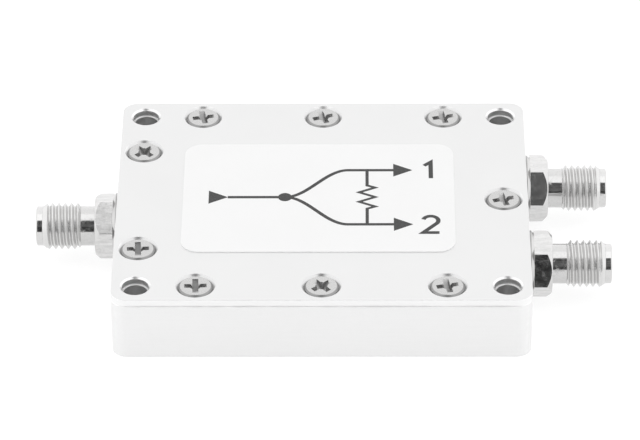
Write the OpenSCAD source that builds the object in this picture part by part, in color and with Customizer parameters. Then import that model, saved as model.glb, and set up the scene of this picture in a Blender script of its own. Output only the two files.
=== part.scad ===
// Two-way RF power divider: a machined box with one input jack and two output jacks.
// X runs from the input to the outputs, Z is up, and the underside lies on Z = 0.
// Sizes are in millimetres.

/* [Housing] */
// Length of the box between its two connector faces
body_l = 56; // [54:0.5:80]
// Depth of the box, across the two outputs
body_d = 45.8; // [43:0.1:70]
// Height of the box without its lid
housing_h = 8.5; // [8.2:0.1:14]
// Radius of the upright corner edges
corner_r = 2; // [0.6:0.1:2.6]
// Thickness of the walls around the pocket
wall = 6; // [5.2:0.1:6.6]
// Radius left by the cutter in the pocket's upright corners
pocket_r = 2; // [1:0.1:4]
// Edge break around the underside
base_break = 0.1; // [0.05:0.05:0.5]
// Edge break on both sides of the seam between housing and lid
seam_break = 0.05; // [0.02:0.01:0.3]
// Edge break on the housing's holes where they meet the lid
bore_break = 0.1; // [0.05:0.05:0.3]

/* [Lid] */
// Thickness of the lid
lid_t = 1; // [0.8:0.1:1.6]
// Edge break around the lid's upper face
lid_break = 0.03; // [0.02:0.01:0.4]

/* [Lid screws] */
// Distance of the screw rows from the outer faces
screw_inset = 3.3; // [2.8:0.1:3.4]
// Spacing of the three screws along each long side
row_pitch = 16.75; // [11:0.25:18.5]
// Spacing of the two screws beside the input
input_pitch = 22.6; // [13:0.2:26]
// Thread diameter of a lid screw
screw_d = 2.5; // [2:0.1:2.6]
// Length of a lid screw from the top of its head to its tip
screw_l = 6; // [4:0.5:7]
// Diameter of the countersunk head
head_d = 4.6; // [4.2:0.1:4.7]
// Height of the rim above the head's cone, its edge break included
head_rim = 0.3; // [0.3:0.05:0.4]
// Edge break around the top of the head
head_break = 0.25; // [0.05:0.01:0.28]
// Diameter of the countersink where it meets the lid's upper face
sink_d = 5.3; // [5.2:0.1:5.5]
// Diameter across the wings of the cross recess
recess_d = 3; // [2.2:0.1:3.2]
// Width of a wing of the cross recess
recess_w = 0.8; // [0.5:0.05:0.9]
// Diameter of the round middle of the cross recess
recess_core_d = 1.6; // [1.4:0.1:2]
// Depth of the cross recess
recess_depth = 1.2; // [0.6:0.1:1.6]
// Chamfer on the tip of every screw
screw_break = 0.3; // [0.1:0.05:0.5]

/* [Mounting holes] */
// Distance of the mounting holes from the outer faces
mount_inset = 3.25; // [2.7:0.05:3.4]
// Diameter of the mounting holes through the housing
mount_d = 3.2; // [2.4:0.1:3.4]
// Diameter of the mounting holes through the lid
mount_lid_d = 3.6; // [3.5:0.1:4]
// Edge break around each mounting hole in the lid's upper face
mount_break = 0.25; // [0.05:0.05:0.3]

/* [Label] */
// Length of the label along X
label_l = 37; // [20:0.5:38]
// Depth of the label along Y
label_d = 25; // [12:0.5:28]
// Corner radius of the label
label_r = 2.4; // [0.5:0.1:5]
// Thickness of the label
label_t = 0.1; // [0.05:0.05:0.3]
// Offset of the label from the lid's middle along X
label_x = -0.5; // [-1:0.1:1]
// Offset of the label from the lid's middle along Y
label_y = 0.3; // [-1:0.1:1]

/* [Jacks] */
// Height of the jack axes above the underside
port_z = 5; // [4.8:0.1:5.4]
// Spacing of the two output jacks
output_pitch = 17.5; // [12:0.5:19]
// Diameter of the round collar against the wall
collar_d = 9; // [8.2:0.1:9.4]
// Length of the collar
collar_l = 0.55; // [0.4:0.05:1]
// Chamfer on the collar's outer edge
collar_break = 0.35; // [0.05:0.05:0.5]
// Width of the hexagon across its flats
hex_af = 8; // [7:0.1:8.2]
// Length of the hexagon
hex_l = 2.5; // [1.5:0.1:4]
// Diameter of the round left by the chamfer on the hexagon's end
hex_face_d = 7.8; // [6.5:0.1:7.9]
// Slope of the chamfer on the hexagon's end, from its flat end
hex_slope = 45; // [25:1:50]
// Diameter of the neck between hexagon and thread
neck_d = 5.4; // [5:0.1:5.8]
// Length of the neck
neck_l = 1.9; // [1:0.1:4]
// Outside diameter of the coupling thread
thread_d = 6.35; // [6:0.05:6.4]
// Length of the coupling thread
thread_l = 5.3; // [3:0.05:8]
// Chamfer at both ends of the coupling thread
thread_break = 0.45; // [0.1:0.05:0.45]
// Diameter of the plain end in front of the thread
pilot_d = 5.4; // [5.2:0.05:5.6]
// Length of the plain end in front of the thread
pilot_l = 0.85; // [0.6:0.05:2]
// Chamfer on the jack's outer end
pilot_break = 0.15; // [0.05:0.05:0.25]
// Diameter of the open socket at the jack's end
socket_d = 4.6; // [4.4:0.05:4.8]
// Depth of the open socket down to the insulator's face
socket_depth = 1.9; // [1:0.1:3]
// Diameter of the threaded stub in the housing's wall
stub_d = 5; // [4.7:0.1:5.2]
// Length of the threaded stub
stub_l = 4; // [2.5:0.1:4.4]
// Diameter of the insulator
insulator_d = 4.1; // [3.6:0.05:4.2]
// Diameter of the centre contact
contact_d = 1.27; // [1.2:0.01:1.4]
// Setback of the centre contact behind the insulator's face
contact_setback = 0.1; // [0.05:0.05:0.3]
// Diameter of the hole that takes the mating pin
contact_bore_d = 0.94; // [0.8:0.01:0.98]
// Depth of the hole that takes the mating pin
contact_bore_l = 2.8; // [2.2:0.1:4]
// Width of the slots that let the contact spring
slot_w = 0.15; // [0.1:0.01:0.25]
// Length of the slots that let the contact spring
slot_l = 2; // [1:0.1:2.2]
// Diameter of the contact's solder tail
tail_d = 0.9; // [0.6:0.05:1]
// Length of the solder tail over the board
tail_l = 2.4; // [1:0.1:3]

/* [Circuit board] */
// Thickness of the board
board_t = 0.8; // [0.5:0.1:1.6]
// Distance of the board's screws from its edges
board_inset = 3; // [2.6:0.1:3.6]
// Thread diameter of a board screw
board_screw_d = 2; // [1.6:0.1:2.2]
// Length of a board screw under its head
board_screw_l = 3; // [2.4:0.1:3.4]
// Diameter of a board screw's head
board_head_d = 3.6; // [3:0.1:4]
// Height of a board screw's head
board_head_h = 1.3; // [1.3:0.1:2]
// Edge break around the top of a board screw's head
board_head_break = 0.4; // [0.1:0.05:0.5]
// Diameter across the wings of a board screw's recess
board_recess_d = 2.1; // [1.8:0.1:2.1]
// Diameter of the screw holes through the board
board_hole_d = 2.3; // [2.25:0.05:2.6]

/* [Divider track] */
// Thickness of the copper track
track_t = 0.07; // [0.03:0.01:0.15]
// Number of matching sections, each closed by a resistor
section_count = 6; // [3:1:7]
// Spacing of the resistors along the track
section_pitch = 5; // [4:0.1:5.2]
// Width of the plain lines to the jacks
line_w = 2; // [1.2:0.1:2.4]
// Width of the track in the section next to the input
first_w = 0.5; // [0.3:0.05:0.9]
// Width of the track in the section next to the outputs
last_w = 1.1; // [0.6:0.05:1.2]
// Distance of each leg from the resistor it leads to
leg_offset = 0.95; // [0.8:0.05:1.1]
// Distance of the track's outermost edge from its middle line
arch_y = 7.5; // [4:0.1:8.5]
// Gap between the two halves of the track, under each resistor
track_gap = 0.9; // [0.6:0.05:1.1]
// Length of the pads beside each gap
pad_l = 1; // [0.7:0.05:1.5]
// Margin of bare board at the end of each line
line_margin = 0.4; // [0.2:0.05:0.8]
// Length of a resistor
resistor_l = 1.6; // [1.4:0.05:2]
// Width of a resistor
resistor_w = 0.8; // [0.5:0.05:1.25]
// Height of a resistor
resistor_h = 0.45; // [0.3:0.05:0.6]

/* [Clearances] */
// Radial gap between a thread and its tapped hole
thread_gap = 0.05; // [0.02:0.01:0.08]
// Radial gap around the insulators and contacts
fit_gap = 0.02; // [0.01:0.01:0.05]
// Gap left under a countersunk head's cone
seat_gap = 0.02; // [0.01:0.01:0.05]
// Gap between the board's edge and the pocket's wall
board_gap = 0.2; // [0.1:0.05:0.4]
// Solder film between a contact's tail and the track
solder_gap = 0.05; // [0.02:0.01:0.1]
// Free depth under the tip of a screw or stub
tip_gap = 0.3; // [0.1:0.1:0.4]

/* [Hidden] */
$fn = 64;
aluminium = [0.88, 0.89, 0.90];
steel = [0.72, 0.73, 0.75];
nickel = [0.80, 0.80, 0.79];
gold = [0.90, 0.72, 0.34];
fluoropolymer = [0.95, 0.95, 0.93];
film = [0.97, 0.97, 0.97];
laminate = [0.20, 0.42, 0.30];
copper = [0.82, 0.52, 0.34];
chip = [0.12, 0.12, 0.14];

// Extra reach of every cutter past the face it opens
over = 0.1;
body_h = housing_h + lid_t;
pocket_l = body_l - 2 * wall;
pocket_d = body_d - 2 * wall;

// Each jack: name, side of the box along X, place along Y, turn of its hexagon
PORTS = [
    ["input", -1, 0, 52],
    ["output_1", 1, output_pitch / 2, 26],
    ["output_2", 1, -output_pitch / 2, 38],
];
port_l = collar_l + hex_l + neck_l + thread_l + pilot_l;
face_z = port_l - socket_depth;
hex_d = hex_af / cos(30);
// The round blank that the hexagon is cut from, just clear of its corners
hex_blank_d = hex_d + 2 * over;
hex_cone_l = (hex_blank_d - hex_face_d) / 2 * tan(hex_slope);
thread_z = port_l - pilot_l - thread_l;

// Heights inside the pocket follow from the contacts' tails
track_top = port_z - tail_d / 2 - solder_gap;
board_top = track_top - track_t;
floor_z = board_top - board_t;
board_l = pocket_l - 2 * board_gap;
board_d = pocket_d - 2 * board_gap;
board_tap_l = board_screw_l - board_t + tip_gap;

// Each lid screw: place along X, place along Y, turn of its cross recess
row_y = body_d / 2 - screw_inset;
end_x = body_l / 2 - screw_inset;
LID_SCREWS = [
    [-row_pitch, row_y, 12],
    [0, row_y, 20],
    [row_pitch, row_y, 14],
    [-end_x, input_pitch / 2, 44],
    [-end_x, -input_pitch / 2, 3],
    [end_x, 0, 16],
    [-row_pitch, -row_y, 2],
    [0, -row_y, 40],
    [row_pitch, -row_y, 13],
];
head_sunk = (sink_d - head_d) / 2 - head_rim - seat_gap;
tap_r = screw_d / 2 + thread_gap;
tap_l = head_sunk + screw_l - lid_t + tip_gap;
// The countersink runs on below the lid, into the mouth of the tapped hole
mouth_r = max(sink_d / 2 - lid_t, tap_r + bore_break);

BOARD_SCREWS = [
    for (x = [-1, 0, 1], y = [-1, 1])
        [x * (board_l / 2 - board_inset), y * (board_d / 2 - board_inset), 0],
];
MOUNT_HOLES = [
    for (x = [-1, 1], y = [-1, 1])
        [x * (body_l / 2 - mount_inset), y * (body_d / 2 - mount_inset), 0],
];

// Places of the section ends along the track, from the input side
section_x = [for (i = [0:section_count]) (i - section_count / 2) * section_pitch];
section_w = [
    for (i = [0:section_count - 1]) first_w + (last_w - first_w) * i / (section_count - 1),
];
line_end = board_l / 2 - line_margin;

// A flat rectangle with rounded corners, about its middle
module rounded_rectangle(l, d, r) {
    square([l - 2 * r, d], center = true);
    square([l, d - 2 * r], center = true);
    for (x = [-1, 1], y = [-1, 1])
        translate([x * (l / 2 - r), y * (d / 2 - r)])
            circle(r);
}

// A bar along X with its four long edges broken
module broken_bar(l, d, h, low, high) {
    rotate([90, 0, 90])
        translate([0, 0, -l / 2])
            linear_extrude(height = l)
                polygon([
                    [-d / 2 + low, 0], [d / 2 - low, 0], [d / 2, low], [d / 2, h - high],
                    [d / 2 - high, h], [-d / 2 + high, h], [-d / 2, h - high], [-d / 2, low],
                ]);
}

// A plate with round upright corners and broken edges below and above
module broken_plate(h, low, high) {
    broken_bar(body_l - 2 * corner_r, body_d, h, low, high);
    rotate([0, 0, 90])
        broken_bar(body_d - 2 * corner_r, body_l, h, low, high);
    for (x = [-1, 1], y = [-1, 1])
        translate([x * (body_l / 2 - corner_r), y * (body_d / 2 - corner_r), 0])
            rotate_extrude()
                polygon([
                    [0, 0], [corner_r - low, 0], [corner_r, low],
                    [corner_r, h - high], [corner_r - high, h], [0, h],
                ]);
}

// Puts a copy at each place, turned as the place says
module at_places(places) {
    for (place = places)
        translate([place[0], place[1], 0])
            rotate([0, 0, place[2]])
                children();
}

// Puts a jack's pieces on its wall, with local Z pointing out of the box
module at_port(p) {
    translate([p[1] * body_l / 2, p[2], port_z])
        rotate([0, p[1] * 90, 0])
            children();
}

// A through hole up to height h with its upper rim broken
module broken_hole(d, h, rim) {
    translate([0, 0, -over])
        cylinder(d = d, h = h + 2 * over);
    translate([0, 0, h - rim])
        cylinder(r1 = d / 2, r2 = d / 2 + rim + over, h = rim + over);
}

// A cross recess below height 0, d across, its wings and its round middle narrowing downwards
module cross_recess(d) {
    rotate_extrude()
        polygon([
            [0, -recess_depth - recess_w / 4], [recess_core_d / 2, 0],
            [recess_core_d / 2, over], [0, over],
        ]);
    for (turn = [0, 90])
        rotate([90, 0, turn])
            translate([0, 0, -recess_w / 2])
                linear_extrude(height = recess_w)
                    polygon([
                        [-d / 2, over], [-d / 2, 0],
                        [-recess_w / 2, -recess_depth], [recess_w / 2, -recess_depth],
                        [d / 2, 0], [d / 2, over],
                    ]);
}

// The stepped hole for a jack: a tapped mouth, then the insulator's bore into the pocket
module port_hole() {
    translate([0, 0, -stub_l - tip_gap])
        cylinder(d = stub_d + 2 * thread_gap, h = stub_l + tip_gap + over);
    translate([0, 0, -wall - over])
        cylinder(d = insulator_d + 2 * fit_gap, h = wall);
}

// The tapped hole for a lid screw, below the housing's upper face
module lid_screw_hole() {
    translate([0, 0, housing_h - tap_l])
        cylinder(r = tap_r, h = tap_l + over);
    translate([0, 0, housing_h - mouth_r + tap_r])
        cylinder(r1 = tap_r, r2 = mouth_r + over, h = mouth_r - tap_r + over);
}

module housing() {
    color(aluminium)
        difference() {
            broken_plate(housing_h, base_break, seam_break);
            translate([0, 0, floor_z])
                linear_extrude(height = housing_h)
                    rounded_rectangle(pocket_l, pocket_d, pocket_r);
            at_places(MOUNT_HOLES)
                broken_hole(mount_d, housing_h, bore_break);
            at_places(LID_SCREWS)
                lid_screw_hole();
            at_places(BOARD_SCREWS)
                translate([0, 0, floor_z - board_tap_l])
                    cylinder(d = board_screw_d + 2 * thread_gap, h = board_tap_l + over);
            for (p = PORTS)
                at_port(p)
                    port_hole();
        }
}

module lid() {
    color(aluminium)
        translate([0, 0, housing_h])
            difference() {
                broken_plate(lid_t, seam_break, lid_break);
                at_places(MOUNT_HOLES)
                    broken_hole(mount_lid_d, lid_t, mount_break);
                at_places(LID_SCREWS) {
                    translate([0, 0, -over])
                        cylinder(r = tap_r, h = lid_t);
                    translate([0, 0, lid_t - sink_d / 2 + tap_r])
                        cylinder(r1 = tap_r, r2 = sink_d / 2 + over, h = sink_d / 2 - tap_r + over);
                }
            }
}

module lid_screw() {
    difference() {
        rotate_extrude()
            polygon([
                [0, 0], [head_d / 2 - head_break, 0], [head_d / 2, -head_break],
                [head_d / 2, -head_rim],
                [screw_d / 2, -head_rim - (head_d - screw_d) / 2],
                [screw_d / 2, -screw_l + screw_break], [screw_d / 2 - screw_break, -screw_l],
                [0, -screw_l],
            ]);
        cross_recess(recess_d);
    }
}

module lid_screws() {
    color(steel)
        translate([0, 0, body_h - head_sunk])
            at_places(LID_SCREWS)
                lid_screw();
}

module label() {
    color(film)
        translate([label_x, label_y, body_h])
            linear_extrude(height = label_t)
                rounded_rectangle(label_l, label_d, label_r);
}

// The jack's turned body: stub, collar, neck, thread and plain end, around one bore
module shell_turning() {
    bore_r = insulator_d / 2 + fit_gap;
    rotate_extrude()
        polygon([
            [bore_r, -stub_l], [stub_d / 2, -stub_l], [stub_d / 2, 0],
            [collar_d / 2, 0], [collar_d / 2, collar_l - collar_break],
            [collar_d / 2 - collar_break, collar_l], [neck_d / 2, collar_l],
            [neck_d / 2, thread_z], [thread_d / 2 - thread_break, thread_z],
            [thread_d / 2, thread_z + thread_break],
            [thread_d / 2, thread_z + thread_l - thread_break],
            [thread_d / 2 - thread_break, thread_z + thread_l],
            [pilot_d / 2, thread_z + thread_l], [pilot_d / 2, port_l - pilot_break],
            [pilot_d / 2 - pilot_break, port_l],
            [socket_d / 2, port_l], [socket_d / 2, face_z], [bore_r, face_z],
        ]);
}

// The hexagon on the collar, its outer corners chamfered and its middle open
module shell_hexagon(turn) {
    translate([0, 0, collar_l])
        difference() {
            intersection() {
                rotate([0, 0, turn])
                    cylinder(d = hex_d, h = hex_l, $fn = 6);
                union() {
                    cylinder(d = hex_blank_d, h = hex_l - hex_cone_l);
                    translate([0, 0, hex_l - hex_cone_l])
                        cylinder(d1 = hex_blank_d, d2 = hex_face_d, h = hex_cone_l);
                }
            }
            translate([0, 0, -over])
                cylinder(d = neck_d - 2 * over, h = hex_l + 2 * over);
        }
}

module port_shell(p) {
    color(nickel)
        at_port(p) {
            shell_turning();
            shell_hexagon(p[3]);
        }
}

module port_insulator(p) {
    color(fluoropolymer)
        at_port(p)
            translate([0, 0, -wall])
                difference() {
                    cylinder(d = insulator_d, h = face_z + wall);
                    translate([0, 0, -over])
                        cylinder(d = contact_d + 2 * fit_gap, h = face_z + wall + 2 * over);
                }
}

module port_contact(p) {
    front = face_z - contact_setback;
    color(gold)
        at_port(p) {
            difference() {
                translate([0, 0, -wall])
                    cylinder(d = contact_d, h = front + wall);
                translate([0, 0, front - contact_bore_l])
                    cylinder(d = contact_bore_d, h = contact_bore_l + over);
                for (turn = [0, 90])
                    rotate([0, 0, turn])
                        translate([-contact_d / 2 - over, -slot_w / 2, front - slot_l])
                            cube([contact_d + 2 * over, slot_w, slot_l + over]);
            }
            translate([0, 0, -wall - tail_l])
                cylinder(d = tail_d, h = tail_l + over);
        }
}

module circuit_board() {
    color(laminate)
        translate([0, 0, floor_z])
            difference() {
                linear_extrude(height = board_t)
                    rounded_rectangle(board_l, board_d, pocket_r);
                at_places(BOARD_SCREWS)
                    translate([0, 0, -over])
                        cylinder(d = board_hole_d, h = board_t + 2 * over);
            }
}

// One section of the upper half: up from one pad, across, and down to the next
module arch(i) {
    w = section_w[i];
    left = section_x[i] + leg_offset - w / 2;
    right = section_x[i + 1] - leg_offset + w / 2;
    polygon([
        [left, track_gap / 2], [left, arch_y - w], [left + w, arch_y],
        [right - w, arch_y], [right, arch_y - w], [right, track_gap / 2],
        [right - w, track_gap / 2], [right - w, arch_y - w],
        [left + w, arch_y - w], [left + w, track_gap / 2],
    ]);
}

// The line from the last pad of the upper half to its output jack
module output_line() {
    x = section_x[section_count];
    y = output_pitch / 2 + line_w / 2;
    polygon([
        [x, track_gap / 2], [x, y - line_w / 2], [x + line_w / 2, y], [line_end, y],
        [line_end, y - line_w], [x + line_w, y - line_w], [x + line_w, track_gap / 2],
    ]);
}

// The upper half of the track: the sections, their pads and the output line
module half_track() {
    pad_w = 2 * leg_offset + last_w;
    for (i = [0:section_count - 1])
        linear_extrude(height = track_t)
            arch(i);
    for (i = [1:section_count])
        translate([section_x[i] - pad_w / 2, track_gap / 2, 0])
            cube([pad_w, pad_l, track_t]);
    linear_extrude(height = track_t)
        output_line();
}

module divider_track() {
    color(copper)
        translate([0, 0, board_top]) {
            half_track();
            mirror([0, 1, 0])
                half_track();
            translate([-line_end, -line_w / 2, 0])
                cube([line_end + section_x[0] + first_w, line_w, track_t]);
            translate([section_x[0], -track_gap / 2 - pad_l, 0])
                cube([leg_offset + first_w / 2, track_gap + 2 * pad_l, track_t]);
        }
}

module isolation_resistor(i) {
    color(chip)
        translate([section_x[i] - resistor_w / 2, -resistor_l / 2, track_top])
            cube([resistor_w, resistor_l, resistor_h]);
}

module board_screw() {
    head_r = board_head_d / 2;
    shank_r = board_screw_d / 2;
    difference() {
        rotate_extrude()
            polygon([
                [0, board_head_h], [head_r - board_head_break, board_head_h],
                [head_r, board_head_h - board_head_break], [head_r, 0], [shank_r, 0],
                [shank_r, -board_screw_l + screw_break], [shank_r - screw_break, -board_screw_l],
                [0, -board_screw_l],
            ]);
        translate([0, 0, board_head_h])
            cross_recess(board_recess_d);
    }
}

module board_screws() {
    color(steel)
        translate([0, 0, board_top])
            at_places(BOARD_SCREWS)
                board_screw();
}

housing();
lid();
lid_screws();
label();
for (p = PORTS) {
    port_shell(p);
    port_insulator(p);
    port_contact(p);
}
circuit_board();
divider_track();
for (i = [1:section_count])
    isolation_resistor(i);
board_screws();
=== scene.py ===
import math

import bpy
import numpy as np
from mathutils import Matrix, Vector


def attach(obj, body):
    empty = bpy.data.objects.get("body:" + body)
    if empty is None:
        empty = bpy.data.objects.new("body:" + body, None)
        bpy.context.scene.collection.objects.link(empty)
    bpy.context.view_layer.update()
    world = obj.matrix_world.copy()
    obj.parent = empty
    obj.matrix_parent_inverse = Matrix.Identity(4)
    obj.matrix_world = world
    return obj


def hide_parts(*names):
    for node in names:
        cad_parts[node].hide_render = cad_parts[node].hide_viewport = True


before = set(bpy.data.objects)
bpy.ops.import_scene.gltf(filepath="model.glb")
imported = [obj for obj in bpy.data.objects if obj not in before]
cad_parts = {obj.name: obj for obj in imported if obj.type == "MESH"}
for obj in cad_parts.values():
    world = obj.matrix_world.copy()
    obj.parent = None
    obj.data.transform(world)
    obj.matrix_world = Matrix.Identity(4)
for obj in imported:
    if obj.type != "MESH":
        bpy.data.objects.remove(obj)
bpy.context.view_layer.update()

mm = 0.001  # Blender works in metres, and sizes below are in millimetres unless a note says metres
scene = bpy.context.scene
print("frame loaded:", len(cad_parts), "nodes")


# shader maths
class Wire:
    # wraps one output socket, so that sums and products of sockets read as plain Python
    def __init__(self, tree, socket=None):
        self.tree, self.socket = tree, socket

    def node(self, kind, settings=None, values=None, out=0):
        # any node: its settings are set first, then each socket gets a number or a link
        made = self.tree.nodes.new(kind)
        for key, value in (settings or {}).items():
            setattr(made, key, value)
        for key, value in (values or {}).items():
            if isinstance(value, Wire):
                self.tree.links.new(value.socket, made.inputs[key])
            else:
                made.inputs[key].default_value = value
        return Wire(self.tree, made.outputs[out])

    def math(self, operation, *terms):
        return self.node("ShaderNodeMath", {"operation": operation}, dict(enumerate(terms)))

    def __add__(self, other):
        return self.math("ADD", self, other)

    def __sub__(self, other):
        return self.math("SUBTRACT", self, other)

    def __rsub__(self, other):
        return self.math("SUBTRACT", other, self)

    def __mul__(self, other):
        return self.math("MULTIPLY", self, other)

    def __abs__(self):
        return self.math("ABSOLUTE", self)

    __radd__, __rmul__ = __add__, __mul__

    def least(self, other):
        return self.math("MINIMUM", self, other)

    def most(self, other):
        return self.math("MAXIMUM", self, other)

    def wave(self, perUnit):
        # a sine between 0 and 1
        return self.math("SINE", self * (2 * math.pi * perUnit)) * 0.5 + 0.5

    def rise(self, low, high):
        # 0 below low, 1 above high, an S curve between; low above high turns it round
        return self.node("ShaderNodeMapRange", {"interpolation_type": "SMOOTHSTEP"},
                         {0: self, 1: low, 2: high, 3: 0.0, 4: 1.0})

    def axis(self, index):
        return self.node("ShaderNodeSeparateXYZ", None, {0: self}, index)

    def stretch(self, factors):
        return self.node("ShaderNodeVectorMath", {"operation": "MULTIPLY"}, {0: self, 1: factors})

    def noise(self, scale, detail=2.0, roughness=0.5):
        return self.node("ShaderNodeTexNoise", None,
                         {"Vector": self, "Scale": scale, "Detail": detail, "Roughness": roughness})

    def spread(self):
        # a value as a vector, for patterns that follow one distance
        return self.node("ShaderNodeCombineXYZ", None, {0: self})

    def upright(self):
        # 1 on upright faces, 0 on level ones
        facing = self.node("ShaderNodeNewGeometry", None, None, "Normal")
        return abs(facing.axis(2)).rise(0.95, 0.4)

    def blend(self, low, high):
        # colour low where this is 0, colour high where it is 1
        return self.node("ShaderNodeMix", {"data_type": "RGBA"}, {0: self, 6: low, 7: high}, 2)

    def bump(self, depth):
        # depth in millimetres for a height of 1
        return self.node("ShaderNodeBump", None, {"Strength": 1.0, "Distance": depth * mm, "Height": self})


def grey(level, tint=0.0):
    # a neutral colour, warmer for a positive tint
    return (level * (1 + tint), level, level * (1 - tint), 1.0)


def newFinish(name, fixed):
    # a Principled shader with its constant sockets set, and Object coordinates in millimetres
    material = bpy.data.materials.new(name)
    material.use_nodes = True
    tree = material.node_tree
    shader = tree.nodes["Principled BSDF"]
    for socket, value in fixed.items():
        shader.inputs[socket].default_value = value
    place = Wire(tree).node("ShaderNodeTexCoord", None, None, "Object").stretch((1 / mm,) * 3)

    def feed(**wires):
        # links what varies over the surface to the shader's own sockets
        sockets = {"colour": "Base Color", "roughness": "Roughness",
                   "metal": "Metallic", "normal": "Normal"}
        for kind, wire in wires.items():
            tree.links.new(wire.socket, shader.inputs[sockets[kind]])
    return material, place, feed


# camera, light and floor
photoCamera = {
    "elevation": 36.107, "azimuth": -0.607, "roll": -0.417,  # degrees
    "distance": 613.8, "target": (-0.358, 1.306, 5.0),
    "focalPixels": 4476.8, "imageWidth": 640, "sensor": 36.0,
    "nearest": 0.05, "farthest": 20.0,  # metres
}


def placeCamera(shot):
    # forward from two angles, right and up square to it, then both turned by the roll
    tilt, turn, roll = (math.radians(shot[angle]) for angle in ("elevation", "azimuth", "roll"))
    forward = Vector((math.sin(turn) * math.cos(tilt), math.cos(turn) * math.cos(tilt), -math.sin(tilt)))
    right = Vector((math.cos(turn), -math.sin(turn), 0.0))
    up = right.cross(forward)
    across = right * math.cos(roll) + up * math.sin(roll)
    upright = up * math.cos(roll) - right * math.sin(roll)
    eye = (Vector(shot["target"]) - forward * shot["distance"]) * mm
    lens = bpy.data.cameras.new("photoCamera")
    lens.sensor_fit, lens.sensor_width = "HORIZONTAL", shot["sensor"]
    lens.lens = shot["focalPixels"] * shot["sensor"] / shot["imageWidth"]
    lens.clip_start, lens.clip_end = shot["nearest"], shot["farthest"]
    camera = bpy.data.objects.new("photoCamera", lens)
    camera.matrix_world = Matrix((across, upright, -forward)).transposed().to_4x4()
    camera.matrix_world.translation = eye
    scene.collection.objects.link(camera)
    scene.camera = camera


studio = {  # sizes in metres, angles in degrees
    "skyStrength": 1.29,
    "lampHeight": 0.9, "lampWidth": 0.9, "lampDepth": 0.62, "lampGlow": 0.2,  # a soft box overhead
    "floorHalf": 4.0, "floorSquares": 8, "floorDark": 0.24, "floorPale": 0.26, "floorNoise": (0.02, 3.0),
    "floorGlow": 0.82,  # a light table, so shadows stay faint
    "cardRadius": 1.3, "cardHalfAngle": 21.0, "cardTop": 67.1, "cardSquares": (16, 12),
    "cardDark": 0.0234, "cardPale": 0.1482, "cardPatch": (0.40, 0.62),
    "cardStretch": (0.004, 0.004, 0.0066),  # patches per millimetre
}


def gridMesh(name, points, wrapRows=False, wrapColumns=False):
    # points[row, column] lie on the surface, and each square of neighbours is a face
    rows, columns = points.shape[:2]
    number = np.arange(rows * columns).reshape(rows, columns)
    if wrapRows:
        number = np.concatenate([number, number[:1]])
    if wrapColumns:
        number = np.concatenate([number, number[:, :1]], axis=1)
    faces = np.stack([number[:-1, :-1], number[:-1, 1:], number[1:, 1:], number[1:, :-1]], -1)
    mesh = bpy.data.meshes.new(name)
    mesh.from_pydata((points.reshape(-1, 3) * mm).tolist(), [], faces.reshape(-1, 4).tolist())
    mesh.shade_smooth()
    return mesh


def addPiece(name, mesh, finish):
    piece = bpy.data.objects.new(name, mesh)
    mesh.materials.append(finish)
    scene.collection.objects.link(piece)
    return piece


def floorPaper():
    # white paper lit from below, with wide faint clouds
    finish, place, feed = newFinish("floorPaper", {
        "Roughness": 0.9, "Specular IOR Level": 0.1,
        "Emission Color": (1.0, 1.0, 1.0, 1.0), "Emission Strength": studio["floorGlow"]})
    cloud = place.noise(*studio["floorNoise"])
    feed(colour=cloud.blend(grey(studio["floorDark"]), grey(studio["floorPale"])))
    return finish


def darkFelt():
    # dark cloth with wide paler patches
    finish, place, feed = newFinish("darkFelt", {"Roughness": 1.0, "Specular IOR Level": 0.0})
    patch = place.stretch(studio["cardStretch"]).noise(1.0, 2.0).rise(*studio["cardPatch"])
    feed(colour=patch.blend(grey(studio["cardDark"]), grey(studio["cardPale"])))
    return finish


def setStudio(look):
    world = bpy.data.worlds.new("paleStudio")
    world.use_nodes = True
    world.node_tree.nodes["Background"].inputs["Color"].default_value = (1.0, 1.0, 1.0, 1.0)
    world.node_tree.nodes["Background"].inputs["Strength"].default_value = look["skyStrength"]
    scene.world = world
    scene.view_settings.view_transform = "Standard"

    lamp = bpy.data.lights.new("softBox", "AREA")
    lamp.shape, lamp.size, lamp.size_y = "RECTANGLE", look["lampWidth"], look["lampDepth"]
    lamp.energy = look["lampGlow"] * math.pi * look["lampWidth"] * look["lampDepth"]
    light = bpy.data.objects.new("softBox", lamp)
    light.location = (0.0, 0.0, look["lampHeight"])
    scene.collection.objects.link(light)

    # the floor is a flat grid under the housing
    side = np.linspace(-look["floorHalf"], look["floorHalf"], look["floorSquares"] + 1) / mm
    across, along = np.meshgrid(side, side)
    floor = addPiece("floor", gridMesh("floor", np.stack([across, along, across * 0.0], -1)), floorPaper())
    # the dark card is part of an upright cylinder behind the camera, from the floor up to an angle
    across, up = look["cardSquares"]
    turn = np.radians(np.linspace(look["cardHalfAngle"], -look["cardHalfAngle"], across + 1))
    rise = np.linspace(0.0, math.tan(math.radians(look["cardTop"])), up + 1)
    turn, rise = np.meshgrid(turn, rise)
    ring = np.stack([np.sin(turn), -np.cos(turn), rise], -1) * look["cardRadius"] / mm
    card = addPiece("darkCard", gridMesh("darkCard", ring), darkFelt())
    card.visible_camera = False


placeCamera(photoCamera)
setStudio(studio)
print("camera, light and floor set")


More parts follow.
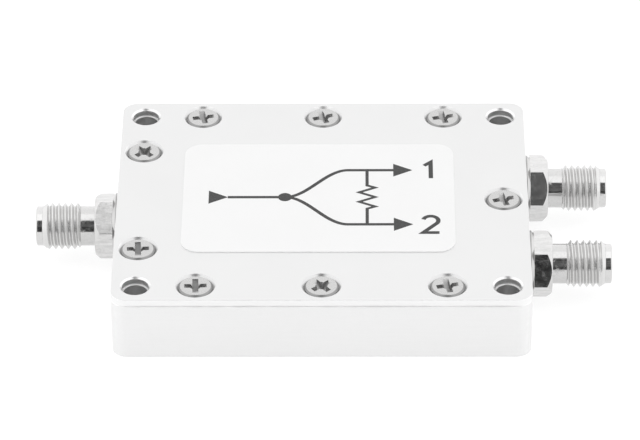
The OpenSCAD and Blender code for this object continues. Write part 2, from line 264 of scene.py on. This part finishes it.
# box: housing and lid
box = {
    "halfLength": 28.0, "halfDepth": 22.9, "seam": 8.5, "top": 9.5,
    "mountX": 24.75, "mountY": 19.65, "mountRadius": 1.8, "mountRing": 2.05,
    "rowPitch": 16.75, "rowY": 19.6, "endX": 24.7, "inputY": 11.3, "sinkRadius": 2.65,
}
housingFinish = {
    "level": 0.715, "sidePaintedLight": 0.125, "wearAndPaintedLightHeights": (8.45,), "boreRadius": 1.6, "boreShade": 0.02,
}
lidFinish = {"level": 0.708, "sidePaintedLight": 0.172, "wearAndPaintedLightHeights": (), "boreRadius": 1.8, "boreShade": 0.01}
satin = {  # how far each mark lightens, darkens or smooths the metal, and how far it reaches
    "cloud": 0.03, "streak": 0.02, "grain": 0.02, "wearAndPaintedLight": 0.03, "lipHighlight": 0.30,
    "seamShade": 0.12, "groove": 0.16, "sink": 0.04, "ring": 0.14,
    "roughness": 0.50, "grainRough": 0.10, "cloudRough": 0.06, "wornSmooth": 0.06, "cutSmooth": 0.21,
    "skin": (1.2, 0.8), "lipDepth": (0.06, 0.01), "seamShadeReach": (0.34, 0.08), "grooveReach": (0.08, 0.04),
    "cornerReach": (1.0, 5.0), "lidReach": 0.1, "rimBlur": 0.04, "boreBlur": (0.04, 0.01), "ringBlur": 0.05,
    "wornCorner": (1.0, 0.45), "wearAndPaintedLightRim": (0.5, 0.2), "wearAndPaintedLightBand": (0.3, 0.05), "wornPatch": (0.35, 0.75),
    "seamShadePatch": (0.25, 0.7), "bumpDepth": 0.012,
    # noise: scale per millimetre, detail, roughness
    "grainNoise": (6.5, 3.0, 0.6), "cloudNoise": (0.07, 3.0), "streakStretch": (0.12, 0.12, 4.0),
    "wornNoise": (0.9, 3.0), "seamShadeNoise": (0.22, 3.0),
}


def reach(dx, dy):
    # length of a step, the root of the sum of the squares
    square = dx * dx + dy * dy
    return square.math("SQRT", square)


def screwDistance(place):
    # distance in plan to the nearest lid screw, by folding the plan on its symmetries
    x, y = place.axis(0), place.axis(1)
    half = box["rowPitch"] / 2
    row = reach(abs(abs(x) - half) - half, abs(y) - box["rowY"])
    left = reach(x + box["endX"], abs(y) - box["inputY"])
    right = reach(x - box["endX"], y)
    return row.least(left).least(right)


def mountDistance(place):
    return reach(abs(place.axis(0)) - box["mountX"], abs(place.axis(1)) - box["mountY"])


def insets(place):
    # distances in from the two pairs of outer faces
    return box["halfLength"] - abs(place.axis(0)), box["halfDepth"] - abs(place.axis(1))


def edgeWearAndPaintedLight(place, heights):
    # 1 along the upright corners and the level outer edges at the given heights, broken up by noise: rubbed
    # wear at the corners, and at the housing's seam height also painted light that lifts the dark seam line
    inX, inY = insets(place)
    wearAndPaintedLight = inX.most(inY).rise(*satin["wornCorner"])
    rim = inX.least(inY).rise(*satin["wearAndPaintedLightRim"])
    for height in heights:
        wearAndPaintedLight = wearAndPaintedLight.most(rim * abs(place.axis(2) - height).rise(*satin["wearAndPaintedLightBand"]))
    return wearAndPaintedLight * place.noise(*satin["wornNoise"]).rise(*satin["wornPatch"])


def satinAluminium(name, look):
    # blasted metal: a level tone with clouds, streaks and grain, changed by each mark in turn
    finish, place, feed = newFinish(name, {"Metallic": 1.0})
    inX, inY = insets(place)
    screw, mount, height = screwDistance(place), mountDistance(place), place.axis(2)
    outer = inX.least(inY).rise(*satin["skin"])  # the outer faces alone
    grain, cloud = place.noise(*satin["grainNoise"]), place.noise(*satin["cloudNoise"])
    streak = place.stretch(satin["streakStretch"]).noise(1.0, 2.0)
    wearAndPaintedLight = edgeWearAndPaintedLight(place, look["wearAndPaintedLightHeights"])
    # the walls of the mount holes are painted a little darker, painted shade inside the holes
    bore = mount.rise(*(look["boreRadius"] + blur for blur in satin["boreBlur"]))
    fromSeam = abs(height - box["seam"])
    patchy = place.noise(*satin["seamShadeNoise"]).rise(*satin["seamShadePatch"])
    patchy = patchy * inX.most(inY).rise(*satin["cornerReach"])
    seamShade = fromSeam.rise(*satin["seamShadeReach"]) * outer * patchy  # painted shade along the seam, in patches, less near the corners
    # the seam's groove is painted lighter, painted light against the groove's own shade
    groove = fromSeam.rise(*satin["grooveReach"]) * outer
    side = place.upright() * outer  # upright outer faces are painted lighter, painted light on the sides
    # a painted highlight on the sides just under the top edge, where the edge would reflect the dark card
    lipHighlight = side * height.rise(*(box["top"] - depth for depth in satin["lipDepth"]))
    # the cut rims of the holes are smoother; the mount-hole rings are also painted lighter, a painted
    # highlight, and the screw countersinks a little darker, painted shade against their bright reflection
    blur = satin["rimBlur"]
    inLid = height.rise(box["seam"] - satin["lidReach"], box["seam"])
    sink = screw.rise(box["sinkRadius"] + blur, box["sinkRadius"] - blur) * inLid
    ring = mount.rise(box["mountRing"] + blur, box["mountRing"] - blur) * mount.rise(
        box["mountRadius"], box["mountRadius"] + satin["ringBlur"]) * inLid
    shade = look["level"] + (cloud - 0.5) * satin["cloud"] + (streak - 0.5) * satin["streak"]
    shade = shade + (grain - 0.5) * satin["grain"] + wearAndPaintedLight * satin["wearAndPaintedLight"]
    shade = shade + side * look["sidePaintedLight"] + lipHighlight * satin["lipHighlight"] - bore * look["boreShade"]
    shade = shade - seamShade * satin["seamShade"] + groove * satin["groove"]
    shade = shade - sink * satin["sink"] + ring * satin["ring"]
    rough = satin["roughness"] + (grain - 0.5) * satin["grainRough"] + (cloud - 0.5) * satin["cloudRough"]
    rough = rough - wearAndPaintedLight * satin["wornSmooth"] - sink.most(ring) * satin["cutSmooth"]
    feed(colour=shade.blend(grey(0.0), grey(1.0)), roughness=rough,
         normal=(grain * 0.7 + streak * 0.3).bump(satin["bumpDepth"]))
    return finish


def dress(finish, *nodes):
    # puts a finish on CAD nodes, in place of the plain colour they were packed with
    for node in nodes:
        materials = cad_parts[node].data.materials
        materials.clear()
        materials.append(finish)


dress(satinAluminium("housingSatin", housingFinish), "housing")
dress(satinAluminium("lidSatin", lidFinish), "lid")
print("box finished")


# screws
screws = {
    "lidHeadTop": 9.47, "boardHeadTop": 5.73, "boardX": 18.8, "boardY": 13.7,
    "rimStart": 2.03, "rimWidth": 0.06, "recessDepth": (0.03, 0.5), "recessRadius": (1.75, 1.6),
    "tone": 0.52, "ring": 0.10, "fleck": 0.08, "deep": 0.05, "rim": 0.20,
    "roughness": 0.27, "fleckRough": 0.14, "deepRough": 0.16, "rimRough": 0.12, "bumpDepth": 0.010,
    "ringNoise": (9.0, 2.0), "fleckNoise": (4.0, 3.0), "tint": 0.004,
}


def platedSteel(name, distance, headTop):
    # fine rings left by turning the head; the recess walls and the head's rim are painted darker, painted
    # shade
    finish, place, feed = newFinish(name, {"Metallic": 1.0})
    out = distance(place)
    ring = out.spread().noise(*screws["ringNoise"])
    fleck = place.noise(*screws["fleckNoise"])
    # painted shade in the recess
    deep = (headTop - place.axis(2)).rise(*screws["recessDepth"]) * out.rise(*screws["recessRadius"])
    # painted shade on the head's rim, in the gap between head and countersink
    rim = out.rise(screws["rimStart"], screws["rimStart"] + screws["rimWidth"])
    shade = screws["tone"] + (ring - 0.5) * screws["ring"] + (fleck - 0.5) * screws["fleck"]
    shade = shade - deep * screws["deep"] - rim * screws["rim"]
    rough = screws["roughness"] + (fleck - 0.5) * screws["fleckRough"] + deep * screws["deepRough"]
    rough = rough + rim * screws["rimRough"]
    feed(colour=shade.blend(grey(0.0), grey(1.0, screws["tint"])), roughness=rough,
         normal=(ring * 0.6 + fleck * 0.4).bump(screws["bumpDepth"]))
    return finish


def boardScrewDistance(place):
    # distance in plan to the nearest board screw, folded in the same way
    x, y, half = abs(place.axis(0)), abs(place.axis(1)), screws["boardX"] / 2
    return reach(abs(x - half) - half, y - screws["boardY"])


dress(platedSteel("lidScrewSteel", screwDistance, screws["lidHeadTop"]), "lid_screws")
dress(platedSteel("boardScrewSteel", boardScrewDistance, screws["boardHeadTop"]), "board_screws")
print("screws finished")


# jacks
jack = {
    "wall": 28.0, "axisHeight": 5.0,
    "stubEnd": -4.0, "stubRadius": 2.5, "boreRadius": 2.07,
    "collarEnd": 0.55, "collarRadius": 4.5, "collarBreak": 0.35,
    "hexEnd": 3.05, "hexFlat": 4.0, "hexFaceRadius": 3.9, "hexSlope": 45.0, "hexEdge": 0.06,
    "neckRadius": 2.7, "threadStart": 4.95, "threadEnd": 10.25,
    "leadIn": 0.5, "leadOut": 0.75, "runOut": 0.4, "coneBlend": 0.02,
    "crestRadius": 3.175, "rootRadius": 2.71, "pitch": 0.867,
    "crestHalf": 0.045, "flank": 0.37, "crestSpread": 0.03,  # in turns
    "mouth": 11.1, "mouthBreak": 0.15, "socketRadius": 2.3, "socketFloor": 9.2,
    "threadRows": 159, "sectorColumns": 24, "cornerSteps": 5,
    "cornerShare": 0.4, "hold": 0.02, "holdShare": 0.05,  # most of a side that a corner may take
}
ports = {  # side of the box, place along Y, turn of the hexagon, start of the thread in turns
    "input": (-1, 0.0, 52.0, 0.23),
    "output_1": (1, 8.75, 26.0, 0.02),
    "output_2": (1, -8.75, 38.0, 0.04),
}


def softenCorners(corners, radii):
    # every corner of the profile becomes a quadratic curve that leaves its two sides one radius
    # before it, with one more row just outside each end so that the flats stay flat
    back, ahead = np.roll(corners, 1, 0) - corners, np.roll(corners, -1, 0) - corners
    tiny = 1e-6  # keeps a side of no length from dividing by zero
    backLength = np.maximum(np.linalg.norm(back, axis=-1, keepdims=True), tiny)
    aheadLength = np.maximum(np.linalg.norm(ahead, axis=-1, keepdims=True), tiny)
    cut = np.minimum(radii[:, None, None], jack["cornerShare"] * np.minimum(backLength, aheadLength))
    start, end = corners + back / backLength * cut, corners + ahead / aheadLength * cut
    before = start + back / backLength * np.minimum(jack["hold"], jack["holdShare"] * backLength)
    after = end + ahead / aheadLength * np.minimum(jack["hold"], jack["holdShare"] * aheadLength)
    t = np.linspace(0.0, 1.0, jack["cornerSteps"])[None, :, None, None]
    curve = (1 - t) ** 2 * start[:, None] + 2 * t * (1 - t) * corners[:, None] + t ** 2 * end[:, None]
    return np.concatenate([before[:, None], curve, after[:, None]], axis=1)


def hexColumns():
    # angles from one corner of the hexagon to the next, closer together at its rounded corners
    edge, sixth, half = jack["hexEdge"], math.pi / 3, math.pi / 6
    centre = (jack["hexFlat"] - edge) / math.cos(half)
    soft = math.atan(edge * math.sin(half) / (centre + edge * math.cos(half)))
    inner = np.linspace(2 * soft, sixth - 2 * soft, jack["sectorColumns"])
    sector = np.concatenate([[0.0, soft / 2, soft], inner, [sixth - soft, sixth - soft / 2]])
    around = (np.arange(6)[:, None] * sixth + sector).ravel()
    fromCorner = np.abs((around + half) % sixth - half)
    # flat over the cosine on the six faces, a small circle round each corner
    flat = jack["hexFlat"] / np.cos(half - fromCorner)
    rounded = centre * np.cos(fromCorner) + np.sqrt(
        np.maximum(edge ** 2 - (centre * np.sin(fromCorner)) ** 2, 0.0))
    return around, np.where(fromCorner < soft, rounded, flat)


def threadRows(angle, startTurn):
    # a ridge with sloped flanks on a right-hand helix: radius falls with the distance from the nearest
    # crest line, and a cone at each end cuts it down to the neck
    out = np.linspace(jack["threadStart"], jack["threadEnd"], jack["threadRows"])[1:-1, None]
    turns = out / jack["pitch"] - angle[None, :] / (2 * math.pi) - startTurn
    fromCrest = np.abs(turns - np.round(turns))
    spread = np.linspace(-1.0, 1.0, 5)[:, None, None] * jack["crestSpread"]  # a mean rounds the edges
    drop = np.clip((fromCrest + spread - jack["crestHalf"]) / jack["flank"], 0.0, 1.0).mean(0)
    drop = drop * np.clip((jack["threadEnd"] - out) / jack["runOut"] - 1.0, 0.0, 1.0)  # the groove runs out
    ridge = jack["crestRadius"] + (jack["rootRadius"] - jack["crestRadius"]) * drop
    nearEnd = (out - jack["threadStart"]) / jack["leadIn"]
    farEnd = (jack["threadEnd"] - out) / jack["leadOut"]
    ends = np.clip(np.minimum(nearEnd, farEnd), 0.0, 1.0)
    cone = jack["neckRadius"] + (jack["crestRadius"] - jack["neckRadius"]) * ends
    # the smaller of ridge and cone, with the corner between them rounded
    radius = 0.5 * (ridge + cone - np.sqrt((ridge - cone) ** 2 + jack["coneBlend"] ** 2))
    return np.stack([out + radius * 0.0, np.maximum(radius, jack["neckRadius"])], -1), drop


def jackShell(name, side, y, hexTurn, startTurn, finish):
    # a profile carried round the jack's axis: X is the distance out, and the radius turns in Y and Z
    around, hexRadius = hexColumns()
    angle = around + math.radians(hexTurn)
    even = np.ones_like(around)
    crease = jack["hexEnd"] - (hexRadius - jack["hexFaceRadius"]) * math.tan(math.radians(jack["hexSlope"]))
    profile = [  # distance out from the wall, radius, rounding of the corner
        (jack["stubEnd"], jack["boreRadius"], 0.05),
        (jack["stubEnd"], jack["stubRadius"], 0.1),
        (0.0, jack["stubRadius"], 0.02),
        (0.0, jack["collarRadius"], 0.05),
        (jack["collarEnd"] - jack["collarBreak"], jack["collarRadius"], 0.04),
        (jack["collarEnd"], jack["collarRadius"] - jack["collarBreak"], 0.02),
        (jack["collarEnd"], hexRadius, 0.04),
        (crease, hexRadius, 0.05),
        (jack["hexEnd"], jack["hexFaceRadius"], 0.08),
        (jack["hexEnd"], jack["neckRadius"], 0.06),
        (jack["threadStart"], jack["neckRadius"], 0.02),
        (jack["threadEnd"], jack["neckRadius"], 0.02),
        (jack["mouth"] - jack["mouthBreak"], jack["neckRadius"], 0.05),
        (jack["mouth"], jack["neckRadius"] - jack["mouthBreak"], 0.05),
        (jack["mouth"], jack["socketRadius"], 0.06),
        (jack["socketFloor"], jack["socketRadius"], 0.03),
        (jack["socketFloor"], jack["boreRadius"], 0.02),
    ]
    corners = np.stack([np.stack([even * out, even * radius], -1) for out, radius, _ in profile])
    soft = softenCorners(corners, np.array([r for _, _, r in profile]))
    ridge, drop = threadRows(angle, startTurn)
    hexAt, threadAt = 6, 11  # corners where the hexagon starts and after which the helix goes in
    rows = np.concatenate([soft[:threadAt].reshape(-1, len(around), 2), ridge,
                           soft[threadAt:].reshape(-1, len(around), 2)])
    steps = soft.shape[1]
    groove = np.zeros(rows.shape[:2])
    groove[threadAt * steps:threadAt * steps + len(ridge)] = drop
    flat = np.zeros(rows.shape[:2])
    flat[hexAt * steps + steps // 2:(hexAt + 1) * steps + steps // 2 + 1] = 1.0
    out, radius = rows[..., 0], rows[..., 1]
    points = np.stack([side * (jack["wall"] + out), y + radius * np.sin(angle),
                       jack["axisHeight"] - side * radius * np.cos(angle)], -1)
    mesh = gridMesh(name, points, True, True)
    for mark, values in (("groove", groove), ("hexFlat", flat)):
        mesh.attributes.new(mark, "FLOAT", "POINT").data.foreach_set("value", values.ravel())
    return addPiece(name, mesh, finish)


nickel = {  # tones, then roughness, then dull patches and haze
    "tone": 0.64, "tint": 0.004, "thread": 0.03, "neck": 0.05, "marks": 0.10, "cloud": 0.06,
    "groove": 0.06, "seatShade": 0.30, "scuff": 0.35,
    "roughness": 0.06, "cloudRough": 0.04, "marksRough": 0.05, "threadRough": 0.12, "grooveRough": 0.06,
    "collarRough": 0.22, "flatDull": 0.14, "neckDull": 0.40, "haze": 0.18, "bumpDepth": 0.002,
    "turningStretch": (14.0, 0.0, 0.0), "millingStretch": (0.25, 5.0, 5.0),
    "scuffStretch": (0.35, 1.5, 1.5), "cloudNoise": (0.8, 3.0),
    "blotchNoise": (1.1, 4.0, 0.6), "hazeNoise": (1.5, 5.0, 0.7),
    "blotchPatch": (0.42, 0.85), "hazePatch": (0.44, 0.72),
    "seatShadeReach": (0.26, 0.14), "collarBlur": 0.03, "neckBlur": 0.1, "threadBlur": 0.2,
}


def brightNickel():
    # polished plating with turning rings, milled hexagon faces and a duller thread
    finish, place, feed = newFinish("brightNickel", {})
    groove = place.node("ShaderNodeAttribute", {"attribute_name": "groove"}, None, "Fac")
    flat = place.node("ShaderNodeAttribute", {"attribute_name": "hexFlat"}, None, "Fac")
    # parts of the shell, by the distance out from the wall
    out = abs(place.axis(0)) - jack["wall"]
    # painted shade where the collar meets the wall, which also darkens the stub inside
    seatShade = out.rise(*nickel["seatShadeReach"])
    collar = out.rise(jack["collarEnd"] + nickel["collarBlur"], jack["collarEnd"] - nickel["collarBlur"])
    neckIn = jack["hexEnd"] + nickel["neckBlur"]
    threadIn = jack["threadStart"] + nickel["threadBlur"]
    threadOut = jack["threadEnd"] - nickel["threadBlur"]
    neck = out.rise(jack["hexEnd"], neckIn) * out.rise(threadIn, jack["threadStart"])
    thread = out.rise(jack["threadStart"], threadIn) * out.rise(jack["threadEnd"], threadOut)
    # marks of making and of use
    turning = place.stretch(nickel["turningStretch"]).noise(1.0, 3.0, 0.6)
    milling = place.stretch(nickel["millingStretch"]).noise(1.0, 3.0)
    marks = turning * (1 - flat) + milling * flat
    cloud = place.noise(*nickel["cloudNoise"])
    scuff = (place.stretch(nickel["scuffStretch"]).noise(1.0, 4.0, 0.65) - 0.5) * flat
    dull = flat * nickel["flatDull"] + neck * nickel["neckDull"]
    blotch = place.noise(*nickel["blotchNoise"]).rise(*nickel["blotchPatch"]) * dull
    # the haze shows in dark reflections
    haze = place.noise(*nickel["hazeNoise"]).rise(*nickel["hazePatch"]) * (1 - thread)
    # the thread is painted a little lighter, painted light against the shade between its flanks, and the
    # neck a little darker, painted shade on its bright top
    shade = nickel["tone"] + thread * nickel["thread"] - neck * nickel["neck"]
    shade = shade + (marks - 0.5) * nickel["marks"] + (cloud - 0.5) * nickel["cloud"]
    # the thread's roots are painted darker, painted shade in the groove
    shade = shade - groove * nickel["groove"] - seatShade * nickel["seatShade"] + scuff * nickel["scuff"]
    rough = nickel["roughness"] + (cloud - 0.5) * nickel["cloudRough"] + marks * nickel["marksRough"]
    rough = rough + thread * nickel["threadRough"] + groove * nickel["grooveRough"]
    rough = rough + blotch + collar * nickel["collarRough"]
    relief = turning * (1 - flat + thread * 2.0) + milling * flat * 0.5 + cloud * 0.5
    feed(colour=shade.blend(grey(0.0), grey(1.0, nickel["tint"])), roughness=rough,
         metal=1 - haze * nickel["haze"], normal=relief.bump(nickel["bumpDepth"]))
    return finish


nickelFinish = brightNickel()
for port, (side, y, hexTurn, startTurn) in ports.items():
    shell = jackShell(port + "Shell", side, y, hexTurn, startTurn, nickelFinish)
    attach(shell, "root")
    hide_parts(port + "_shell")
print("jacks turned and threaded")


# insulators and contacts
inside = {
    "outputY": ports["output_1"][1],
    "polymerDark": grey(0.80, 0.006), "polymerPale": grey(0.88, 0.003), "polymerRough": 0.38,
    "polymerVary": 0.15, "polymerNoise": (0.6, 3.0), "ringNoise": (7.0, 2.0), "ringDepth": 0.008,
    "goldDark": (0.78, 0.52, 0.17, 1.0), "goldPale": (0.92, 0.68, 0.28, 1.0), "goldRough": 0.16,
    "goldVary": 0.1, "goldNoise": (1.5, 3.0), "turningStretch": (16.0, 0.0, 0.0), "turningRough": 0.06,
    "turningDepth": 0.003,
}


def axisDistance(place):
    # distance from the nearest jack's axis: the input's is at Y = 0, the outputs' are outputY to each side
    side = place.axis(0).rise(-0.1, 0.1)
    y = abs(place.axis(1)) - side * inside["outputY"]
    return reach(y, place.axis(2) - jack["axisHeight"])


def waxyFluoropolymer():
    # turned polymer, a little translucent, with faint rings about the axis
    finish, place, feed = newFinish("waxyFluoropolymer", {
        "Subsurface Weight": 0.15, "Subsurface Radius": (0.001, 0.001, 0.001), "Subsurface Scale": 0.3})
    ring = axisDistance(place).spread().noise(*inside["ringNoise"])
    cloud = place.noise(*inside["polymerNoise"])
    feed(colour=(cloud * 0.6 + ring * 0.4).blend(inside["polymerDark"], inside["polymerPale"]),
         roughness=inside["polymerRough"] + (cloud - 0.5) * inside["polymerVary"],
         normal=ring.bump(inside["ringDepth"]))
    return finish


def platedGold():
    # gold over turning marks
    finish, place, feed = newFinish("platedGold", {"Metallic": 1.0})
    turning = place.stretch(inside["turningStretch"]).noise(1.0, 3.0)
    cloud = place.noise(*inside["goldNoise"])
    rough = inside["goldRough"] + (cloud - 0.5) * inside["goldVary"] + turning * inside["turningRough"]
    feed(colour=(cloud * 0.7 + turning * 0.3).blend(inside["goldDark"], inside["goldPale"]),
         roughness=rough, normal=turning.bump(inside["turningDepth"]))
    return finish


dress(waxyFluoropolymer(), *(port + "_insulator" for port in ports))
dress(platedGold(), *(port + "_contact" for port in ports))
print("insulators and contacts finished")


# circuit inside the box
circuit = {
    "resinDark": (0.03, 0.10, 0.06, 1.0), "resinPale": (0.06, 0.19, 0.11, 1.0), "resinRough": 0.45,
    "resinVary": 0.2, "resinNoise": (0.15, 3.0), "weavePitch": 0.45, "weaveDepth": 0.006,
    "copperDark": (0.62, 0.30, 0.17, 1.0), "copperPale": (0.86, 0.48, 0.29, 1.0), "copperRough": 0.30,
    "stainVary": 0.25, "stainNoise": (0.35, 4.0), "grainNoise": (5.0, 3.0), "grainDepth": 0.004,
    "chipHalfLength": 0.8, "capLength": 0.3, "capBlur": 0.05,
    "filmDark": grey(0.015), "filmPale": grey(0.04), "tinDark": grey(0.55), "tinPale": grey(0.72),
    "chipRough": 0.35, "speckVary": 0.3, "speckNoise": (7.0, 3.0), "speckDepth": 0.006,
}


def wovenLaminate():
    # glass cloth under resin: two crossed waves
    finish, place, feed = newFinish("wovenLaminate", {})
    threads = 1 / circuit["weavePitch"]
    weave = place.axis(0).wave(threads) * place.axis(1).wave(threads)
    cloud = place.noise(*circuit["resinNoise"])
    feed(colour=(weave * 0.4 + cloud * 0.6).blend(circuit["resinDark"], circuit["resinPale"]),
         roughness=circuit["resinRough"] + (cloud - 0.5) * circuit["resinVary"],
         normal=weave.bump(circuit["weaveDepth"]))
    return finish


def bareCopper():
    # stained foil with a fine grain
    finish, place, feed = newFinish("bareCopper", {"Metallic": 1.0})
    grain, stain = place.noise(*circuit["grainNoise"]), place.noise(*circuit["stainNoise"])
    feed(colour=stain.blend(circuit["copperDark"], circuit["copperPale"]),
         roughness=circuit["copperRough"] + (stain - 0.5) * circuit["stainVary"],
         normal=grain.bump(circuit["grainDepth"]))
    return finish


def chipResistor():
    # a dark film between two tinned ends
    finish, place, feed = newFinish("chipResistor", {})
    capStart = circuit["chipHalfLength"] - circuit["capLength"]
    end = abs(place.axis(1)).rise(capStart, capStart + circuit["capBlur"])
    speck = place.noise(*circuit["speckNoise"])
    film = speck.blend(circuit["filmDark"], circuit["filmPale"])
    tin = speck.blend(circuit["tinDark"], circuit["tinPale"])
    feed(colour=end.blend(film, tin), metal=end,
         roughness=circuit["chipRough"] + (speck - 0.5) * circuit["speckVary"],
         normal=speck.bump(circuit["speckDepth"]))
    return finish


dress(wovenLaminate(), "circuit_board")
dress(bareCopper(), "divider_track")
dress(chipResistor(), *(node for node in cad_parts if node.startswith("isolation_resistor")))
print("circuit finished")


# label and its port diagram
label = {
    "centre": (-0.5, 0.3), "top": 9.6, "sink": 0.002, "inkHeight": 0.006, "inkLayer": 0.0005,
    "filmTone": 0.765, "edgePaintedLight": 0.2, "filmCloud": 0.03, "filmFibre": 0.02,
    "filmRough": 0.42, "filmVary": 0.2, "cloudNoise": (0.12, 3.0),
    "fibreNoise": (5.0, 3.0), "fibreDepth": 0.004,
    "inkDark": grey(0.025), "inkPale": grey(0.075), "inkRough": 0.5, "inkVary": 0.3,
    "inkNoise": (6.0, 4.0, 0.7), "inkPatch": (0.25, 0.8), "inkDepth": 0.003,
    "line": 0.55, "branchY": 6.3, "branchX": 4.0, "junctionX": -4.6, "dotRadius": 0.95,
    "bendSteps": 25, "dotSteps": 21, "dotFill": 0.98,
    "arrowLength": 2.6, "arrowWidth": 3.0, "arrowTip": 0.04, "inX": -15.0, "outX": 10.2,
    "resistorX": 6.6, "resistorLine": 0.44, "zigzagHalf": 1.1, "zigzagY": (2.7, 2.2, 1.1),
    "numberX": 15.2, "numberHeight": 3.8, "numberLine": 0.6,
}
numerals = {  # pen strokes in a cell one unit high, angles in degrees
    "one": ((-0.2, 0.28), (0.04, 0.5), (0.04, -0.5)),
    "twoRadius": 0.27, "twoCentre": 0.22, "twoAngles": (165.0, -35.0), "twoSteps": 20,
    "twoFoot": ((-0.28, -0.5), (0.30, -0.5)),
}


def whiteFilm():
    # matt printed film with faint fibres; its upright cut edge is painted lighter, painted light against
    # the shade on that side
    finish, place, feed = newFinish("whiteFilm", {"Specular IOR Level": 0.4})
    fibre, cloud = place.noise(*label["fibreNoise"]), place.noise(*label["cloudNoise"])
    tone = label["filmTone"] + (cloud - 0.5) * label["filmCloud"] + (fibre - 0.5) * label["filmFibre"]
    # painted light on the upright edge
    tone = tone + place.upright() * label["edgePaintedLight"]
    feed(colour=tone.blend(grey(0.0), grey(1.0)),
         roughness=label["filmRough"] + (cloud - 0.5) * label["filmVary"],
         normal=fibre.bump(label["fibreDepth"]))
    return finish


def greyInk():
    # dark ink, thinner in specks
    finish, place, feed = newFinish("greyInk", {"Specular IOR Level": 0.3})
    speck = place.noise(*label["inkNoise"])
    feed(colour=speck.rise(*label["inkPatch"]).blend(label["inkDark"], label["inkPale"]),
         roughness=label["inkRough"] + (speck - 0.5) * label["inkVary"],
         normal=speck.bump(label["inkDepth"]))
    return finish


def inkStroke(path, width, layer):
    # a flat strip carried along a path: each point goes half the width to both sides, along the
    # sum of its two neighbours' normals, so that corners meet in a mitre; each stroke lies one
    # thin layer higher than the last, because they cross
    path = np.asarray(path, float)
    along = np.diff(path, axis=0)
    normal = np.stack([-along[:, 1], along[:, 0]], -1) / np.linalg.norm(along, axis=1, keepdims=True)
    before, after = np.concatenate([normal[:1], normal]), np.concatenate([normal, normal[-1:]])
    mitre = (before + after) / (1 + (before * after).sum(1, keepdims=True))
    side = mitre * np.broadcast_to(width, len(path))[:, None] / 2
    left, right = path + side, path - side
    low, high = label["top"] - label["sink"], label["top"] + label["inkHeight"] + layer * label["inkLayer"]
    ring = np.stack([left, left, right, right], 1) + np.array(label["centre"])
    height = np.broadcast_to(np.array([low, high, high, low])[None, :, None], ring.shape[:2] + (1,))
    return np.concatenate([ring, height], -1)


def joinPaths(*parts):
    return np.concatenate([np.asarray(part, float) for part in parts])


def numeralPaths():
    # a one of two straight strokes, and a two of an arc and a foot
    turn = np.radians(np.linspace(*numerals["twoAngles"], numerals["twoSteps"]))
    radius = numerals["twoRadius"]
    arc = np.stack([radius * np.cos(turn), numerals["twoCentre"] + radius * np.sin(turn)], -1)
    return np.array(numerals["one"]), joinPaths(arc, numerals["twoFoot"])


def diagramStrokes():
    # a path and a width for each stroke, from the input through the junction to the two numbers
    branch, split, line = label["branchY"], label["junctionX"], label["line"]
    strokes = [([(label["inX"] + label["arrowLength"], 0), (split, 0)], line)]
    # the dot is a strip as wide as its chord, cut just short of its two ends
    dot = np.linspace(-1.0, 1.0, label["dotSteps"]) * label["dotFill"] * label["dotRadius"]
    chord = 2 * np.sqrt(label["dotRadius"] ** 2 - dot ** 2)
    strokes.append((np.stack([split + dot, dot * 0], -1), chord))
    # each branch is half a cosine wave, then straight
    part = np.linspace(0.0, 1.0, label["bendSteps"])
    climb = branch * (1 - np.cos(math.pi * part)) / 2
    bend = np.stack([split + (label["branchX"] - split) * part, climb], -1)
    for sign in (1, -1):
        strokes.append((joinPaths(bend * (1, sign), [(label["outX"], sign * branch)]), line))
    taper = np.array([label["arrowWidth"], label["arrowTip"]])
    for x, y in ((label["inX"], 0.0), (label["outX"], branch), (label["outX"], -branch)):
        strokes.append(([(x, y), (x + label["arrowLength"], y)], taper))
    # the resistor between the two branches
    zigzag = np.array([0, 0, 1, -1, 1, -1, 1, 0, 0]) * label["zigzagHalf"]
    upper = np.array([branch, *label["zigzagY"]])
    zagY = np.concatenate([upper, [0.0], -upper[::-1]])
    strokes.append((np.stack([label["resistorX"] + zigzag, zagY], -1), label["resistorLine"]))
    for numeral, sign in zip(numeralPaths(), (1, -1)):
        middle = (label["numberX"], sign * branch)
        strokes.append((numeral * label["numberHeight"] + middle, label["numberLine"]))
    return strokes


def portDiagram(finish):
    # each stroke's rings are joined by four walls, with a cap at both ends
    points, faces, count = [], [], 0
    for layer, (path, width) in enumerate(diagramStrokes()):
        ring = inkStroke(path, width, layer)
        number = np.arange(ring[..., 0].size).reshape(ring.shape[:2]) + count
        near, far = number[:-1], number[1:]
        wall = np.stack([near, np.roll(near, -1, 1), np.roll(far, -1, 1), far], -1).reshape(-1, 4)
        faces += wall.tolist() + [number[0, ::-1].tolist(), number[-1].tolist()]
        points.append(ring.reshape(-1, 3))
        count += ring[..., 0].size
    mesh = bpy.data.meshes.new("portDiagram")
    mesh.from_pydata((np.concatenate(points) * mm).tolist(), [], faces)
    return addPiece("portDiagram", mesh, finish)


dress(whiteFilm(), "label")
diagram = portDiagram(greyInk())
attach(diagram, "root")
print("label printed")
